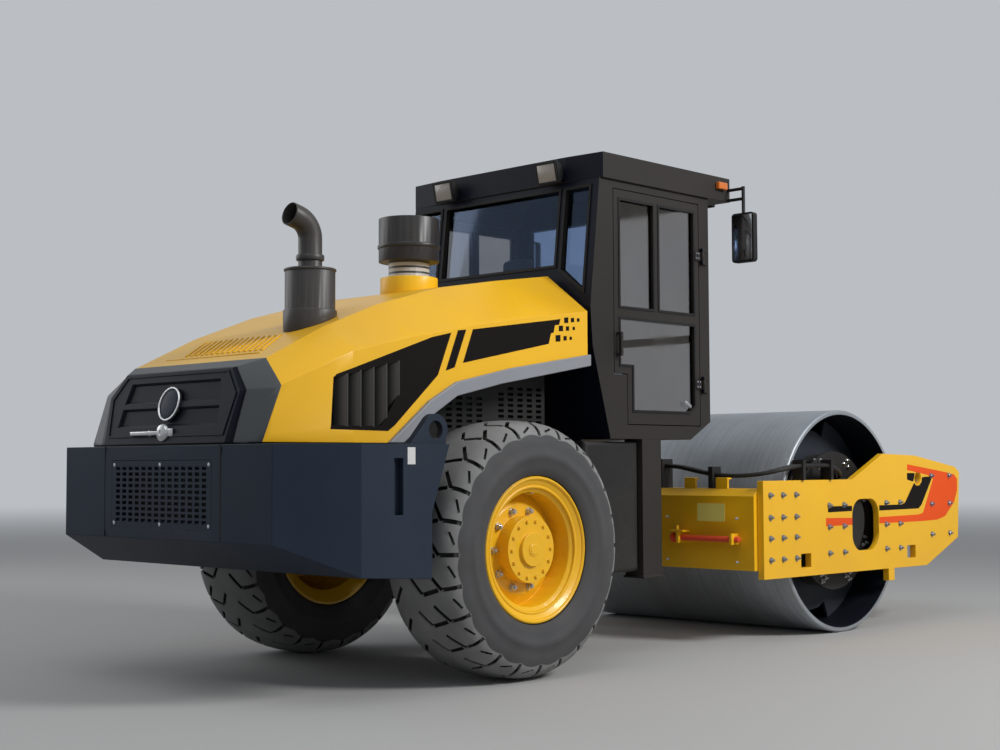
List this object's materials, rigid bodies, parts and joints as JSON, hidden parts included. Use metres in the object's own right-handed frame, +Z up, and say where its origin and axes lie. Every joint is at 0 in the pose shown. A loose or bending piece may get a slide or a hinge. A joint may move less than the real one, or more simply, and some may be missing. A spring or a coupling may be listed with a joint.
{
  "type": "single-drum road roller",
  "caption": "Road roller with one smooth steel drum in an articulated front frame, cab, sloping engine hood and tyred rear wheels.",
  "frame": {"origin": "on the ground at the middle of the machine's length and width", "axes": "+X forward towards the drum, +Y to the left, +Z up"},
  "size_m": [6.71, 2.4, 3.1915],
  "materials": {
    "yellow_paint": "gloss",
    "dark_paint": "satin",
    "cab_paint": "satin",
    "chassis_paint": "satin",
    "trim_paint": "satin",
    "red_paint": "gloss",
    "drum_steel": "satin",
    "bright_steel": "satin",
    "tyre_rubber": "matte",
    "hose_rubber": "satin",
    "window_glass": "gloss",
    "seat_fabric": "matte",
    "console_plastic": "matte",
    "lamp_lens": "gloss",
    "amber_lens": "gloss"
  },
  "bodies": {
    "rear_machine": {"rear_axle": "chassis_paint", "rear_frame": "chassis_paint", "counterweight": "dark_paint", "counterweight_grille": "dark_paint", "lifting_eyes": "dark_paint", "engine_block": "chassis_paint", "side_mesh_guards": "chassis_paint", "fuel_tank": "chassis_paint", "hydraulic_tank": "chassis_paint", "support_posts": "cab_paint", "cab_shell": "cab_paint", "cab_floor": "cab_paint", "cab_roof": "cab_paint", "cab_glass": "window_glass", "cab_seat": "seat_fabric", "steering_console": "console_plastic", "work_lights": "lamp_lens", "beacon_lamps": "amber_lens", "mirrors": "console_plastic"},
    "engine_hood": {"hood_shell": "yellow_paint", "hood_cap": "dark_paint", "hood_louvres": "chassis_paint", "arch_trims": "trim_paint", "exhaust_stack": "chassis_paint", "pre_cleaner": "console_plastic", "hood_latch": "bright_steel"},
    "cab_door_right": {"door_right_frame": "cab_paint", "door_right_glass": "window_glass"},
    "cab_door_left": {"door_left_frame": "cab_paint", "door_left_glass": "window_glass"},
    "rear_wheel_right": {"rear_rim_right": "yellow_paint", "rear_tyre_right": "tyre_rubber"},
    "rear_wheel_left": {"rear_rim_left": "yellow_paint", "rear_tyre_left": "tyre_rubber"},
    "centre_yoke": {"articulation_yoke": "chassis_paint"},
    "cylinder_right": {"steering_barrel_right": "chassis_paint"},
    "cylinder_left": {"steering_barrel_left": "chassis_paint"},
    "piston_right": {"steering_rod_right": "bright_steel"},
    "piston_left": {"steering_rod_left": "bright_steel"},
    "front_frame": {"rear_cross_beam": "yellow_paint", "front_cross_beam": "yellow_paint", "side_plate_right": "yellow_paint", "side_plate_left": "yellow_paint", "drum_mounts": "chassis_paint", "drum_scrapers": "chassis_paint", "lock_bar": "red_paint", "lock_bar_brackets": "yellow_paint", "drive_hoses": "hose_rubber", "hose_clamps": "chassis_paint", "beam_brackets": "yellow_paint"},
    "drum": {"drum_shell": "drum_steel", "drum_end_discs": "chassis_paint"}
  },
  "joints": [
    {"name": "steering", "type": "hinge", "parent": "rear_machine", "child": "centre_yoke", "pos_m": [0.128, 0, 0.735], "axis": [0, 0, 1], "range_deg": [-33, 33]},
    {"name": "oscillation", "type": "hinge", "parent": "centre_yoke", "child": "front_frame", "pos_m": [0.578, 0, 0.735], "axis": [1, 0, 0], "range_deg": [-10, 10]},
    {"name": "drum_spin", "type": "hinge", "parent": "front_frame", "child": "drum", "pos_m": [1.738, 0, 0.8], "axis": [0, 1, 0], "continuous": true},
    {"name": "wheel_right_spin", "type": "hinge", "parent": "rear_machine", "child": "rear_wheel_right", "pos_m": [-1.622, -0.906, 0.735], "axis": [0, 1, 0], "continuous": true},
    {"name": "wheel_left_spin", "type": "hinge", "parent": "rear_machine", "child": "rear_wheel_left", "pos_m": [-1.622, 0.906, 0.735], "axis": [0, 1, 0], "continuous": true},
    {"name": "door_right_hinge", "type": "hinge", "parent": "rear_machine", "child": "cab_door_right", "pos_m": [0.353, -0.868, 2.18], "axis": [0, 0, 1], "range_deg": [0, 90]},
    {"name": "door_left_hinge", "type": "hinge", "parent": "rear_machine", "child": "cab_door_left", "pos_m": [0.353, 0.868, 2.18], "axis": [0, 0, -1], "range_deg": [0, 90]},
    {"name": "hood_hinge", "type": "hinge", "parent": "rear_machine", "child": "engine_hood", "pos_m": [-0.798, 0, 2.4], "axis": [0, 1, 0], "range_deg": [0, 40]},
    {"name": "cylinder_right_swing", "type": "hinge", "parent": "rear_machine", "child": "cylinder_right", "pos_m": [-0.902, -0.3, 0.735], "axis": [0, 0, 1], "range_deg": [-4.26, 4.26]},
    {"name": "piston_right_slide", "type": "slide", "parent": "cylinder_right", "child": "piston_right", "axis": [0.9987, 0.0512, 0], "range_m": [-0.1416, 0.1416]},
    {"name": "cylinder_left_swing", "type": "hinge", "parent": "rear_machine", "child": "cylinder_left", "pos_m": [-0.902, 0.3, 0.735], "axis": [0, 0, 1], "range_deg": [-4.26, 4.26]},
    {"name": "piston_left_slide", "type": "slide", "parent": "cylinder_left", "child": "piston_left", "axis": [0.9987, -0.0512, 0], "range_m": [-0.1416, 0.1416]}
  ],
  "couplings": [
    {"joint": "cylinder_right_swing", "follows": "steering", "ratio": 0.0989},
    {"joint": "piston_right_slide", "follows": "steering", "m_per_rad": 0.2371},
    {"joint": "cylinder_left_swing", "follows": "steering", "ratio": 0.0989},
    {"joint": "piston_left_slide", "follows": "steering", "m_per_rad": -0.2371}
  ]
}
